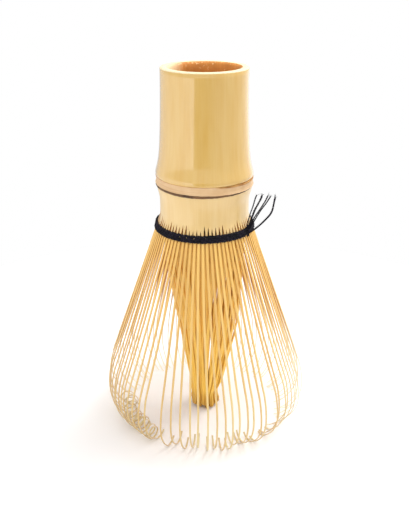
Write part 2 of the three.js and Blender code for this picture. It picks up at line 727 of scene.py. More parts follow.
@dataclass(frozen=True)
class TineFinish(Finish):
    """Shaved bamboo: a colour that changes along the tine, browner on the sides.

    The outer face goes from root over middle, at the share middle_at of the length, to tip. The brown of
    the sides is partly the knife-cut sides' own colour and partly painted shade between the close tines,
    most near the root. Above the share shade_to the inner face is as dark as the sides, which is painted
    shade in the gaps between the tines. Towards their lower part the tines at the back turn paler.
    """

    name: str
    root: Colour
    middle: Colour
    tip: Colour
    side: Colour
    inside: Colour
    # The paler colour that the lower part of the tines at the back turns to.
    back_pale: Colour = (0.90, 0.79, 0.54)
    inside_share: float = 0.9
    middle_at: float = 0.35
    shade_to: float = 0.75
    tone_share: float = 0.28
    back_pale_share: float = 0.8

    def build(self, groups: GroupLibrary) -> bpy.types.Material:
        """Makes the material: colour along the tine, a tone for each tine, and fibres.

        Args:
            groups: the shared shader groups.

        Returns:
            The material.
        """
        material, g, shader = self.start(0.42)
        along, tone, pale = g.attribute("along"), g.attribute("tone"), g.attribute("pale")
        upper = g.mix(g.span(along, 0.0, self.middle_at), self.root, self.middle)
        base = g.mix(g.span(along, self.middle_at, 1.0), upper, self.tip)
        faces = g.group(groups.cut_side)
        # The sides darken most near the root: partly the cut sides' own brown, partly painted shade between
        # the close tines.
        sides_browned_and_shaded = g.mix(g.product(faces["Side"], g.span(along, 0.1, 0.8, 1.0, 0.2)), base, self.side)
        # Painted shade: up the tine the inner face takes the side colour, dark on the outer tines, so the
        # gaps between them look shaded.
        inner_face_with_root_shade = g.mix(g.span(along, self.shade_to - 0.3, self.shade_to), self.side, self.inside)
        faced = g.mix(g.product(faces["Inside"], self.inside_share), sides_browned_and_shaded, inner_face_with_root_shade)
        grain = g.group(groups.grain, Fibres_Round=260.0, Fibre_Length=12 * MM)
        fibred = g.mix(g.product(grain["Fibres"], 0.3), faced, self.side)
        toned = g.mix(g.span(tone, 0.0, 1.0, 0.0, self.tone_share), fibred, self.side)
        back_paling = g.product(pale, g.span(along, 0.45, 0.85, 0.0, self.back_pale_share))
        g.tree.links.new(g.mix(back_paling, toned, self.back_pale), shader.inputs["Base Color"])
        self.bump(g, shader, grain["Height"], 0.03 * MM, 0.4)
        return material


@dataclass(frozen=True)
class ThreadFinish(Finish):
    """Black cotton with a faint blue and violet cast."""

    name: str = "cotton_thread"
    dark: Colour = (0.003, 0.003, 0.005)
    tinted: Colour = (0.011, 0.008, 0.020)
    lint: Colour = (0.10, 0.08, 0.11)

    def build(self, groups: GroupLibrary) -> bpy.types.Material:
        """Makes the material: fibres, a tint and a few specks of lint, with a soft sheen.

        Args:
            groups: the shared shader groups.

        Returns:
            The material.
        """
        material, g, shader = self.start(0.9, specular=0.2)
        marks = g.group(groups.blotches, Blotch_Size=1.6 * MM, Speck_Size=0.12 * MM)
        tinted = g.mix(marks["Blotches"], self.dark, self.tinted)
        linted = g.mix(g.product(marks["Specks"], 0.5), tinted, self.lint)
        g.tree.links.new(linted, shader.inputs["Base Color"])
        shader.inputs["Sheen Weight"].default_value = 0.08
        shader.inputs["Sheen Roughness"].default_value = 0.5
        self.bump(g, shader, marks["Specks"], 0.04 * MM, 0.7)
        return material


@dataclass(frozen=True)
class TableFinish(Finish):
    """The plain white table."""

    name: str = "white_table"
    colour: Colour = (0.93, 0.92, 0.92)

    def build(self, groups: GroupLibrary) -> bpy.types.Material:
        """Makes the material: matt white with hardly any variation.

        Args:
            groups: the shared shader groups.

        Returns:
            The material.
        """
        material, g, shader = self.start(0.9, specular=0.1)
        marks = g.group(groups.blotches, Blotch_Size=0.3)
        paler = tuple(min(part + 0.01, 1.0) for part in self.colour)
        g.tree.links.new(g.mix(marks["Blotches"], self.colour, paler), shader.inputs["Base Color"])
        return material


class Palette:
    """Every material of the scene, by the part of the whisk that it dresses."""

    def __init__(self) -> None:
        """Builds the materials."""
        groups = GroupLibrary()
        self.skin = SkinFinish().build(groups)
        self.node = NodeFinish().build(groups)
        self.scraped = SkinFinish(
            name="scraped_skin",
            light=(0.85, 0.61, 0.27),
            dark=(0.81, 0.55, 0.21),
            roughness=0.34,
            coat=0.7,
            coat_roughness=0.33,
        ).build(groups)
        self.scar = ScarFinish().build(groups)
        self.groove = ScarFinish(
            name="groove_edge",
            dark=(0.36, 0.15, 0.03),
            light=(0.62, 0.33, 0.10),
        ).build(groups)
        self.cut = CutFinish().build(groups)
        self.flesh = FleshFinish().build(groups)
        self.outer = TineFinish(
            name="outer_tine",
            root=(1.0, 0.63, 0.16),
            middle=(0.97, 0.66, 0.22),
            tip=(0.70, 0.65, 0.38),
            # The dark side colour is partly the cut sides' own brown and partly painted shade between the
            # close tines.
            side=(0.52, 0.20, 0.02),
            inside=(0.99, 0.96, 0.87),
        ).build(groups)
        self.inner = TineFinish(
            name="inner_tine",
            root=(1.0, 0.66, 0.17),
            middle=(1.0, 0.66, 0.10),
            # The dark tip colour is painted shade: it darkens the curled ends at the bottom of the core,
            # towards the table.
            tip=(0.30, 0.11, 0.008),
            side=(0.92, 0.50, 0.06),
            inside=(0.97, 0.68, 0.20),
            middle_at=0.86,
        ).build(groups)
        self.thread = ThreadFinish().build(groups)
        self.table = TableFinish().build(groups)


# --------------------------------------------------------------------------------------------------
# Meshes
# --------------------------------------------------------------------------------------------------


def make_piece(
    name: str,
    vertices: Sequence[Vector],
    faces: Sequence[Sequence[int]],
    materials: Sequence[bpy.types.Material],
    face_materials: Sequence[int] | None = None,
    sharp_angle: float = math.radians(50),
) -> bpy.types.Object:
    """Makes a mesh object at the origin.

    Args:
        name: the piece's name.
        vertices: its points in metres.
        faces: indices into the points, anticlockwise seen from outside.
        materials: its material slots.
        face_materials: the slot of each face, or None for the first.
        sharp_angle: edges that turn by more than this stay crisp.

    Returns:
        The object.
    """
    mesh = bpy.data.meshes.new(name)
    mesh.from_pydata([tuple(v) for v in vertices], [], [tuple(f) for f in faces])
    for material in materials:
        mesh.materials.append(material)
    if face_materials is not None:
        mesh.polygons.foreach_set("material_index", list(face_materials))
    mesh.polygons.foreach_set("use_smooth", [True] * len(mesh.polygons))
    mesh.set_sharp_from_angle(angle=sharp_angle)
    mesh.update()
    piece = bpy.data.objects.new(name, mesh)
    bpy.context.scene.collection.objects.link(piece)
    return piece


def ring_piece(
    name: str,
    section: Callable[[float], Sequence[SectionPoint]],
    materials: Sequence[bpy.types.Material],
    segments: int = 192,
) -> bpy.types.Object:
    """Makes a ring whose closed section may change on its way round.

    Args:
        name: the piece's name.
        section: gives the section's points at an azimuth, from the outside top down, inwards and up again.
        materials: the piece's material slots.
        segments: steps round the ring.

    Returns:
        The object.
    """
    vertices: list[Vector] = []
    faces: list[tuple[int, ...]] = []
    slots: list[int] = []
    count = len(section(0.0))
    for step in range(segments):
        azimuth = TAU * step / segments
        outward = direction(azimuth)
        vertices.extend(outward * radius + Vector((0, 0, height)) for radius, height, _ in section(azimuth))
        following = (step + 1) % segments
        for i, (_, _, slot) in enumerate(section(azimuth)):
            j = (i + 1) % count
            faces.append((step * count + i, step * count + j, following * count + j, following * count + i))
            slots.append(slot)
    return make_piece(name, vertices, faces, materials, slots)


def triangles(piece: bpy.types.Object) -> int:
    """Counts a piece's triangles."""
    return sum(len(face.vertices) - 2 for face in piece.data.polygons)


def hand_over(piece: bpy.types.Object, slot: str, *nodes: str) -> bpy.types.Object:
    """Fixes a finished piece to the body in place of its CAD nodes, and reports it.

    Args:
        piece: the finished piece.
        slot: a material slot's name, not used.
        nodes: the CAD nodes that it stands for.

    Returns:
        The piece.
    """
    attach(piece, BODY)
    if nodes:
        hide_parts(*nodes)
    log.info("%s: %d triangles", piece.name, triangles(piece))
    return piece


# --------------------------------------------------------------------------------------------------
# The culm: handle, node, septum and collar
# --------------------------------------------------------------------------------------------------


@dataclass
class Culm:
    """The part of the bamboo that isn't shaved: a slightly uneven tube with one node."""

    levels: Levels
    palette: Palette
    rim_chamfer: float = 0.28 * MM
    bore_chamfer: float = 0.75 * MM
    unevenness: float = 0.10 * MM
    lip_height: float = 1.1 * MM
    groove_depth: float = 0.45 * MM
    groove_drop: float = 0.75 * MM
    groove_tilt: float = 0.2 * MM
    scar_rise: float = 0.12 * MM
    scar_tilt: float = 0.25 * MM
    neck_radius: float = 13.25 * MM
    root_wall_radius: float = 12.5 * MM
    finger_depth: float = 0.95 * MM
    # The slits between the roots of the outer tines: how broad at most, as a share of a tine's pitch,
    # how far above the root level the longest reaches, and which one that is.
    slit_share: float = 0.62
    slit_reach: float = 2.7 * MM
    longest_slit: int = 62
    seed: int = 4

    def uneven(self, azimuth: float, height: float) -> float:
        """How far the skin stands out from a true circle.

        Args:
            azimuth: radians from the front.
            height: metres above the table.

        Returns:
            Metres outwards.
        """
        oval = 0.7 * math.cos(2 * azimuth + 0.8)
        return self.unevenness * (oval + round_noise(azimuth, 1.2, height / (25 * MM) + self.seed))

    def groove_height(self, azimuth: float) -> float:
        """Height of the groove under the handle, which leans a little to the right.

        Args:
            azimuth: radians from the front.

        Returns:
            Metres above the table.
        """
        return self.levels.groove - self.groove_drop - self.groove_tilt * math.sin(azimuth)

    @staticmethod
    def right_share(azimuth: float) -> float:
        """How strongly the groove is cut: most at the right of the front."""
        return bell(math.radians(58), math.radians(48), signed_turn(azimuth))

    def scar_height(self, azimuth: float) -> float:
        """Height of the sheath scar, which falls towards the right.

        Args:
            azimuth: radians from the front.

        Returns:
            Metres above the table.
        """
        ripple = 0.06 * MM * round_noise(azimuth, 9)
        return self.levels.scar + self.scar_rise - self.scar_tilt * math.sin(azimuth) + ripple

    def skin_radius(self, height: float) -> float:
        """Radius of the skin of the handle.

        Args:
            height: metres above the groove.

        Returns:
            The radius in metres.
        """
        up = height / (self.levels.rim - self.levels.groove)
        body = self.levels.handle_radius + 1.15 * MM * max(1 - up, 0.0) ** 1.9
        flare = 0.80 * MM * math.exp(-((max(height - 0.9 * MM, 0.0) / (3.0 * MM)) ** 1.4))
        return body + flare

    def handle(self) -> bpy.types.Object:
        """Builds the handle: skin, saw cut with its chamfers, bore and the rounded lip over the groove.

        Returns:
            The piece.
        """
        lv = self.levels
        skin_steps = 26
        # (height over the groove, radius against the flare above it)
        lip = [(0.75 * MM, 0.0), (0.4 * MM, -0.05 * MM), (0.14 * MM, -0.19 * MM), (0.0, -0.62 * MM)]

        def section(azimuth: float) -> list[SectionPoint]:
            """Skin from the top down, the lip, and the bore from the bottom up.

            Args:
                azimuth: radians from the front.

            Returns:
                The section's points.
            """
            groove = self.groove_height(azimuth)
            tall = lv.rim - self.rim_chamfer - groove - self.lip_height
            points: list[SectionPoint] = []
            for step in range(skin_steps, -1, -1):
                up = self.lip_height + tall * (step / skin_steps) ** 1.25
                points.append((self.skin_radius(up) + self.uneven(azimuth, groove + up), groove + up, 0))
            lip_radius = points[-1][0]
            deep = 0.2 + 0.8 * self.right_share(azimuth)
            points.extend((lip_radius + out * deep, groove + up, 0) for up, out in lip)
            points[-1] = (points[-1][0], groove, 2)
            chips = 0.14 * MM * round_noise(azimuth, 14) + 0.10 * MM * round_noise(azimuth, 40)
            funnel = lv.rim - self.bore_chamfer
            for share in (0.0, 0.2, 0.4, 0.6, 0.8, 0.93):
                rough = 0.12 * MM * round_noise(azimuth, 6, share * 9)
                points.append((lv.bore_radius + rough, groove + (funnel - groove) * share, 2))
            points.append((lv.bore_radius + chips, funnel, 2))
            points.append((lv.bore_radius + self.bore_chamfer + chips, lv.rim - 0.03 * MM, 1))
            points.append((lv.handle_radius - self.rim_chamfer + self.uneven(azimuth, lv.rim), lv.rim, 1))
            return points

        piece = ring_piece("handle", section, [self.palette.skin, self.palette.cut, self.palette.flesh])
        return hand_over(piece, "bamboo_skin", "handle_tube")

    def node_band(self) -> bpy.types.Object:
        """Builds the raised band between the groove and the sheath scar.

        Returns:
            The piece.
        """
        lv = self.levels

        def section(azimuth: float) -> list[SectionPoint]:
            """Band from the groove down to its lip over the scar, and the bore behind it.

            Args:
                azimuth: radians from the front.

            Returns:
                The section's points.
            """
            low, high = self.scar_height(azimuth), self.groove_height(azimuth)
            tall = high - low
            radius = lv.node_radius - 0.05 * MM + self.uneven(azimuth, lv.scar)
            ripple = 0.05 * MM * round_noise(azimuth, 5, 3)
            deep = self.right_share(azimuth)
            outside = [
                (radius - self.groove_depth * (0.12 + 0.88 * deep), high),
                (radius - (0.12 + 0.12 * deep) * MM, high - 0.2 * MM),
                (radius - 0.18 * MM + ripple, low + 0.72 * tall),
                (radius - 0.24 * MM + ripple, low + 0.45 * tall),
                (radius - 0.10 * MM, low + 0.22 * tall),
                (radius + 0.02 * MM, low + 0.10 * tall),
                (radius - 0.06 * MM, low + 0.04 * tall),
                (radius - 0.35 * MM, low + 0.01 * tall),
            ]
            inside = [(lv.bore_radius, low), (lv.bore_radius, high - 0.08 * MM)]
            return [(r, z, 0) for r, z in outside] + [(r, z, 1) for r, z in inside]

        piece = ring_piece("node_band", section, [self.palette.node, self.palette.flesh])
        return hand_over(piece, "bamboo_skin", "node_ridge")

    def groove_fill(self) -> bpy.types.Object:
        """Builds the brown edge in the groove between the handle and the band, broadest on the right.

        Returns:
            The piece.
        """
        lv = self.levels

        def section(azimuth: float) -> list[SectionPoint]:
            """A low ring that stands out more on the right.

            Args:
                azimuth: radians from the front.

            Returns:
                The section's points.
            """
            shows = self.right_share(azimuth)
            floor = lv.node_radius - self.groove_depth + self.uneven(azimuth, lv.groove)
            outer, inner = floor + (0.05 + 0.38 * shows) * MM, lv.bore_radius + MM
            rough = 0.06 * MM * round_noise(azimuth, 22)
            groove = self.groove_height(azimuth)
            high, low = groove + 0.06 * MM, groove - (0.20 + 0.16 * shows) * MM + rough
            return [(outer, high, 0), (outer, low, 0), (inner, low, 0), (inner, high, 0)]

        piece = ring_piece("groove_line", section, [self.palette.groove])
        return hand_over(piece, "bamboo_skin")

    def scar(self) -> bpy.types.Object:
        """Builds the sheath scar, thick at the front left, and thin on the right.

        Returns:
            The piece.
        """
        lv = self.levels
        reach = 1.6 * MM

        def section(azimuth: float) -> list[SectionPoint]:
            """An uneven sliver under the band's lip.

            Args:
                azimuth: radians from the front.

            Returns:
                The section's points.
            """
            thin = bell(math.radians(75), math.radians(50), signed_turn(azimuth))
            broad = bell(math.radians(-15), math.radians(30), signed_turn(azimuth))
            thick = (0.66 - 0.42 * thin + 0.12 * broad + 0.08 * round_noise(azimuth, 17)) * MM
            radius = lv.node_radius - 0.10 * MM - 0.16 * MM * thin + self.uneven(azimuth, lv.scar)
            top = self.scar_height(azimuth) + 0.04 * MM
            return [
                (radius, top, 0),
                (radius, top - 0.5 * thick, 0),
                (radius - 0.12 * MM, top - thick, 0),
                (radius - reach, top - thick, 0),
                (radius - reach, top, 0),
            ]

        piece = ring_piece("sheath_scar", section, [self.palette.scar], segments=320)
        return hand_over(piece, "bamboo_skin")

    def septum(self) -> bpy.types.Object:
        """Builds the wall across the culm, dished and thicker at its edge.

        Returns:
            The piece.
        """
        low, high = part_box("septum")
        radius, middle, half = high.x, (low.z + high.z) / 2, (high.z - low.z) / 2
        rings = [0.12, 0.3, 0.5, 0.7, 0.85, 0.95, 1.0]
        segments = 64
        centre_share = 0.45
        dish_depth = 0.105 * MM
        vertices: list[Vector] = []
        faces: list[tuple[int, ...]] = []
        for side in (1, -1):
            base = len(vertices)
            for share in rings:
                edge = half * (centre_share + (1 - centre_share) * smooth_step(0.5, 1.0, share))
                for step in range(segments):
                    azimuth = TAU * step / segments
                    rough = 0.03 * MM * round_noise(azimuth, share * 4)
                    height = middle + side * edge - dish_depth * math.cos(share * math.pi) + rough
                    vertices.append(direction(azimuth) * radius * share + Vector((0, 0, height)))
            centre = len(vertices)
            vertices.append(Vector((0, 0, middle + side * centre_share * half - dish_depth)))
            for ring in range(len(rings) - 1):
                for step in range(segments):
                    a, b = base + ring * segments + step, base + ring * segments + (step + 1) % segments
                    c, d = b + segments, a + segments
                    faces.append((a, d, c, b) if side == 1 else (a, b, c, d))
            for step in range(segments):
                a, b = base + step, base + (step + 1) % segments
                faces.append((centre, a, b) if side == 1 else (centre, b, a))
        last_top = (len(rings) - 1) * segments
        last_low = last_top + len(rings) * segments + 1
        for step in range(segments):
            following = (step + 1) % segments
            faces.append((last_top + step, last_low + step, last_low + following, last_top + following))
        piece = make_piece("septum_wall", vertices, faces, [self.palette.flesh])
        return hand_over(piece, "bamboo_flesh", "septum")

    def collar_radius(self, height: float) -> float:
        """Radius of the collar's skin, which swells to the scar above and splays below.

        Args:
            height: metres above the table.

        Returns:
            The radius in metres.
        """
        swell = 0.95 * MM * smooth_step(71.6 * MM, 76.6 * MM, height)
        splay = 1.25 * MM * (max(68.0 * MM - height, 0.0) / (3.9 * MM)) ** 1.5
        return self.neck_radius + swell + splay

    def slit_tops(self) -> list[float]:
        """Draws the height of the point of each slit; every fifth reaches a little further up.

        Returns:
            Metres above the table, one for each slit.
        """
        dice = random.Random(self.seed)
        root = self.levels.root
        tops = [root - dice.uniform(0.15, 1.35) * MM for _ in range(TINES)]
        for index in range(0, TINES, TINES_PER_SPLIT):
            tops[index] = root + dice.uniform(0.0, 0.5) * MM
        tops[self.longest_slit] = root + 2.4 * MM
        return tops

    def collar(self) -> bpy.types.Object:
        """Builds the neck with the pointed slits between the roots of the outer tines.

        Returns:
            The piece.
        """
        lv = self.levels
        tops = self.slit_tops()
        top, bottom = lv.scar - 0.35 * MM, lv.thread - 0.2 * MM
        waist = lv.root + self.slit_reach
        columns, upper_rows, lower_rows = 4, 6, 26
        rows = [top + (waist - top) * i / upper_rows for i in range(upper_rows + 1)]
        rows += [waist + (bottom - waist) * i / lower_rows for i in range(1, lower_rows + 1)]

        def slit(index: int, height: float) -> float:
            """Half the angle of a slit at a height."""
            drop = max(tops[index % TINES] - height, 0.0)
            return 0.5 * PITCH * min(0.56 * (drop / (2.3 * MM)) ** 0.85, self.slit_share)

        def place(azimuth: float, height: float, radius: float) -> Vector:
            """A point of the collar, whose top follows the sheath scar.

            Args:
                azimuth: radians from the front.
                height: metres above the table, before the top is lifted.
                radius: metres from the axis.

            Returns:
                The point in metres.
            """
            follow = smooth_step(waist, top, height)
            lifted = height + follow * (self.scar_height(azimuth) + 0.02 * MM - top)
            return direction(azimuth) * radius + Vector((0, 0, lifted))

        vertices: list[Vector] = []
        index_of: dict[tuple[int, int, int, int], int] = {}
        shared: dict[tuple[int, int, int], int] = {}
        for row, height in enumerate(rows):
            for tine in range(TINES):
                before, after = slit(tine, height), slit(tine + 1, height)
                left, right = tine * PITCH + before, (tine + 1) * PITCH - after
                for column in range(columns + 1):
                    azimuth = left + (right - left) * column / columns
                    from_middle = (2 * column / columns - 1) ** 2
                    rounding = 0.07 * MM * smooth_step(lv.root, bottom, height) * from_middle
                    skin = self.collar_radius(height) + self.uneven(azimuth, height) - rounding
                    depth = lv.collar_bore if height > lv.root - 0.2 * MM else skin - self.finger_depth
                    closed = (column == 0 and before == 0) or (column == columns and after == 0)
                    joint = (tine + (column == columns)) % TINES
                    for layer, radius in enumerate((skin, min(depth, skin - 0.4 * MM))):
                        if closed and (row, joint, layer) in shared:
                            index_of[row, tine, column, layer] = shared[row, joint, layer]
                            continue
                        index_of[row, tine, column, layer] = len(vertices)
                        if closed:
                            shared[row, joint, layer] = len(vertices)
                        vertices.append(place(azimuth, height, radius))
        faces: list[list[int]] = []
        slots: list[int] = []

        def face(slot: int, tine: int, *corners: tuple[int, int, int]) -> None:
            """Adds a face from (row, column, layer) corners, without those that coincide.

            Args:
                slot: its material slot.
                tine: the tine that it belongs to.
                corners: each corner, anticlockwise seen from outside.
            """
            ring = [index_of[row, tine, column, layer] for row, column, layer in corners]
            ring = [v for i, v in enumerate(ring) if v != ring[i - 1]]
            if len(set(ring)) >= 3:
                faces.append(ring)
                slots.append(slot)

        last = len(rows) - 1
        for tine in range(TINES):
            for here in range(columns):
                beside = here + 1
                for row in range(last):
                    below = row + 1
                    face(0, tine, (row, here, 0), (below, here, 0), (below, beside, 0), (row, beside, 0))
                    face(1, tine, (row, beside, 1), (below, beside, 1), (below, here, 1), (row, here, 1))
                face(1, tine, (0, here, 1), (0, here, 0), (0, beside, 0), (0, beside, 1))
                face(1, tine, (last, here, 0), (last, here, 1), (last, beside, 1), (last, beside, 0))
            for row in range(last):
                below = row + 1
                if slit(tine, rows[below]) > 0:
                    face(1, tine, (row, 0, 0), (row, 0, 1), (below, 0, 1), (below, 0, 0))
                if slit(tine + 1, rows[below]) > 0:
                    edge = columns
                    face(1, tine, (row, edge, 1), (row, edge, 0), (below, edge, 0), (below, edge, 1))
        piece = make_piece("collar_neck", vertices, faces, [self.palette.scraped, self.palette.flesh], slots)
        return hand_over(piece, "bamboo_skin", "collar")

    def root_wall(self) -> bpy.types.Object:
        """Builds the inner half of the wall, dark with painted shade in the depth of the slits.

        Returns:
            The piece.
        """
        lv = self.levels
        thick = 1.2 * MM

        def section(azimuth: float) -> list[SectionPoint]:
            """A plain ring behind the roots of the outer tines.

            Args:
                azimuth: radians from the front.

            Returns:
                The section's points.
            """
            outer = self.root_wall_radius + 0.1 * MM * round_noise(azimuth, 20)
            inner = outer - thick
            high, low = lv.root + 0.9 * MM, lv.thread - 0.4 * MM
            return [(outer, high, 0), (outer, low, 0), (inner, low, 0), (inner, high, 0)]

        # The sheath scar's near-black material here is painted shade, not the wall's own colour.
        piece = ring_piece("root_wall_painted_shade", section, [self.palette.scar])
        return hand_over(piece, "bamboo_flesh")

    def build(self) -> None:
        """Builds every piece of the culm."""
        self.root_wall()
        self.handle()
        self.groove_fill()
        self.node_band()
        self.scar()
        self.septum()
        self.collar()


# --------------------------------------------------------------------------------------------------
# Sweeps by Geometry Nodes
# --------------------------------------------------------------------------------------------------


@dataclass
class Path:
    """A line that a slat or a thread follows.

    Each point may have its own direction across the slat and its own width. Tone is how brown the whole
    slat is and pale how much paler it turns, both from 0 to 1.
    """

    points: list[Vector]
    across: list[Vector] | None = None
    widths: list[float] | None = None
    tone: float = 0.0
    pale: float = 0.0
    closed: bool = False

    def along(self) -> list[float]:
        """Share of the length at each point, from 0 to 1.

        Returns:
            One share for each point.
        """
        steps = [0.0]
        for before, after in zip(self.points, self.points[1:]):
            steps.append(steps[-1] + (after - before).length)
        return [step / steps[-1] for step in steps]


def paths_object(name: str, paths: Sequence[Path]) -> bpy.types.Object:
    """Makes a mesh of bare edges whose points carry their across direction, width, share and tones.

    Args:
        name: the object's name.
        paths: the lines.

    Returns:
        The object.
    """
    vertices: list[Vector] = []
    edges: list[tuple[int, int]] = []
    data: dict[str, list[float]] = {"along": [], "tone": [], "pale": [], "width": []}
    across: list[float] = []
    for path in paths:
        base, count = len(vertices), len(path.points)
        vertices.extend(path.points)
        edges.extend((base + i, base + i + 1) for i in range(count - 1))
        if path.closed:
            edges.append((base + count - 1, base))
        data["along"].extend(path.along())
        data["tone"].extend([path.tone] * count)
        data["pale"].extend([path.pale] * count)
        data["width"].extend(path.widths or [MM] * count)
        for vector in path.across or [Vector((1, 0, 0))] * count:
            across.extend(vector)
    mesh = bpy.data.meshes.new(name)
    mesh.from_pydata([tuple(v) for v in vertices], edges, [])
    for key, values in data.items():
        mesh.attributes.new(key, "FLOAT", "POINT").data.foreach_set("value", values)
    mesh.attributes.new("across", "FLOAT_VECTOR", "POINT").data.foreach_set("vector", across)
    made = bpy.data.objects.new(name, mesh)
    bpy.context.scene.collection.objects.link(made)
    return made


class SweepTree:
    """A Geometry Nodes tree that turns an object's edges into swept solids."""

    def __init__(self, name: str, sizes: Sequence[tuple[str, str, Any]]) -> None:
        """Starts the tree.

        Args:
            name: the tree's name.
            sizes: (name, socket type, default) of each input besides the geometry and the material.
        """
        self.tree = bpy.data.node_groups.new(name, "GeometryNodeTree")
        declare(self.tree, [("Paths", "INPUT", "NodeSocketGeometry", None)])
        declare(self.tree, [(key, "INPUT", kind, default) for key, kind, default in sizes])
        declare(self.tree, [("Material", "INPUT", "NodeSocketMaterial", None)])
        declare(self.tree, [("Solid", "OUTPUT", "NodeSocketGeometry", None)])
        self.graph = Graph(self.tree)
        self.given = self.graph.add("NodeGroupInput").outputs

    def finish(self, solid: bpy.types.NodeSocket) -> None:
        """Ends the tree in smooth shading, Realize Instances and Set Material.

        Args:
            solid: the swept geometry.
        """
        g = self.graph
        smooth = g.add("GeometryNodeSetShadeSmooth", {"Geometry": solid}).outputs[0]
        real = g.add("GeometryNodeRealizeInstances", {"Geometry": smooth}).outputs[0]
        dressed = g.add("GeometryNodeSetMaterial", {"Geometry": real, "Material": self.given["Material"]})
        g.add("NodeGroupOutput", {"Solid": dressed.outputs[0]})

    def attribute(self, name: str, kind: str = "FLOAT") -> bpy.types.NodeSocket:
        """Reads a named attribute.

        Args:
            name: the attribute's name.
            kind: its data type.

        Returns:
            The attribute's socket.
        """
        made = self.graph.add("GeometryNodeInputNamedAttribute", {"Name": name}, data_type=kind)
        return made.outputs["Attribute"]

    def sweep(self, curve: bpy.types.NodeSocket, section: bpy.types.NodeSocket, scale: Any) -> None:
        """Sweeps a section along a curve, with closed ends, and ends the tree.

        Args:
            curve: the curve.
            section: the section, in the XY plane.
            scale: how much larger the section is at each point.
        """
        solid = self.graph.add(
            "GeometryNodeCurveToMesh",
            {"Curve": curve, "Profile Curve": section, "Scale": scale, "Fill Caps": True},
        )
        self.finish(solid.outputs[0])

    def run(self, name: str, paths: Sequence[Path], sharp_angle: float, **sizes: Any) -> bpy.types.Object:
        """Sweeps paths into a plain mesh object.

        Args:
            name: the piece's name.
            paths: the lines to follow.
            sharp_angle: edges that turn by more than this stay crisp.
            sizes: values for the tree's inputs, with _ for a space.

        Returns:
            The object, without a modifier.
        """
        lines = paths_object(name + "_paths", paths)
        modifier = lines.modifiers.new("sweep", "NODES")
        modifier.node_group = self.tree
        wanted = {key.replace("_", " "): value for key, value in sizes.items()}
        for item in self.tree.interface.items_tree:
            if item.in_out == "INPUT" and item.name in wanted:
                modifier[item.identifier] = wanted[item.name]
        evaluated = lines.evaluated_get(bpy.context.evaluated_depsgraph_get())
        mesh = bpy.data.meshes.new_from_object(evaluated)
        mesh.name = name
        for spare in ("across", "width"):
            if spare in mesh.attributes:
                mesh.attributes.remove(mesh.attributes[spare])
        mesh.set_sharp_from_angle(angle=sharp_angle)
        bpy.data.objects.remove(lines)
        piece = bpy.data.objects.new(name, mesh)
        bpy.context.scene.collection.objects.link(piece)
        return piece


class SlatSweep(SweepTree):
    """Sweeps tines: a flat section with shaved corners that follows each path's own width."""

    def __init__(self) -> None:
        """Builds the tree."""
        super().__init__(
            "tine_sweep",
            [
                ("Flatness", "NodeSocketFloat", 0.6),
                ("Section Sides", "NodeSocketInt", 8),
                ("Unevenness", "NodeSocketFloat", 0.04 * MM),
                ("Seed", "NodeSocketFloat", 1.0),
            ],
        )
        g, given = self.graph, self.given
        curve = g.add("GeometryNodeMeshToCurve", {"Mesh": given["Paths"]}).outputs[0]
        place = g.add("GeometryNodeInputPosition").outputs[0]
        wobble = g.add(
            "ShaderNodeTexNoise",
            {"Vector": place, "W": given["Seed"], "Scale": 90.0, "Detail": 1.0},
            noise_dimensions="4D",
        ).outputs["Color"]
        centred = g.vector("SUBTRACT", wobble, (0.5, 0.5, 0.5))
        amount = g.math("MULTIPLY", given["Unevenness"], self.attribute("along"))
        offset = g.add("ShaderNodeVectorMath", {0: centred, "Scale": amount}, operation="SCALE").outputs[0]
        moved = g.add("GeometryNodeSetPosition", {"Geometry": curve, "Offset": offset}).outputs[0]
        across = self.attribute("across", "FLOAT_VECTOR")
        turned = g.add(
            "GeometryNodeSetCurveNormal", {"Curve": moved, "Normal": across}, mode="FREE"
        ).outputs[0]
        # A polygon with a flat side outwards; its corners reach a little past the width.
        polygon = g.add(
            "GeometryNodeCurvePrimitiveCircle", {"Resolution": given["Section Sides"], "Radius": 1.08}
        ).outputs[0]
        half_side = g.math("DIVIDE", math.pi, given["Section Sides"])
        turn = g.add("ShaderNodeCombineXYZ", {2: half_side}).outputs[0]
        level = g.add("GeometryNodeTransform", {"Geometry": polygon, "Rotation": turn}).outputs[0]
        flat = g.add("ShaderNodeCombineXYZ", {0: 1.0, 1: given["Flatness"], 2: 1.0}).outputs[0]
        section = g.add("GeometryNodeTransform", {"Geometry": level, "Scale": flat}).outputs[0]
        self.sweep(turned, section, g.product(self.attribute("width"), 0.5))


